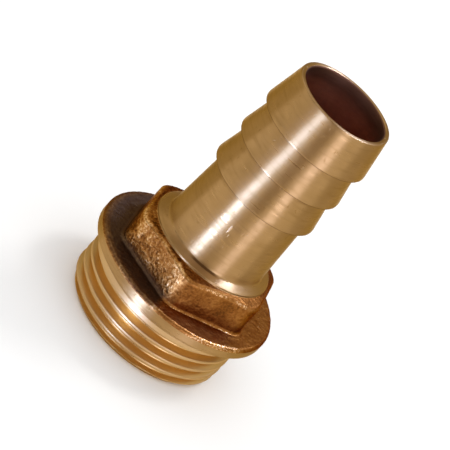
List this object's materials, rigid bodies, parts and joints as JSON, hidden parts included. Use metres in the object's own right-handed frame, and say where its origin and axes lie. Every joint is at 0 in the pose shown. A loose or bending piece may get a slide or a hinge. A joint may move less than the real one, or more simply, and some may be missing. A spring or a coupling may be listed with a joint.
{
  "type": "hose tail pipe fitting",
  "caption": "Brass hose tail with a male pipe thread, a sealing collar, a spanner hexagon and a barbed spigot for a flexible hose.",
  "frame": {"origin": "centre of the threaded spigot's end face, on the bore's axis", "axes": "+Z along the bore to the hose end; one hexagon corner points to -Y and two flats face +X and -X"},
  "size_m": [0.0304, 0.0304, 0.0467],
  "materials": {
    "brass": "satin turned ends, rough as-cast hexagon"
  },
  "bodies": {
    "root": {"hose_tail_fitting": "brass"}
  },
  "joints": []
}
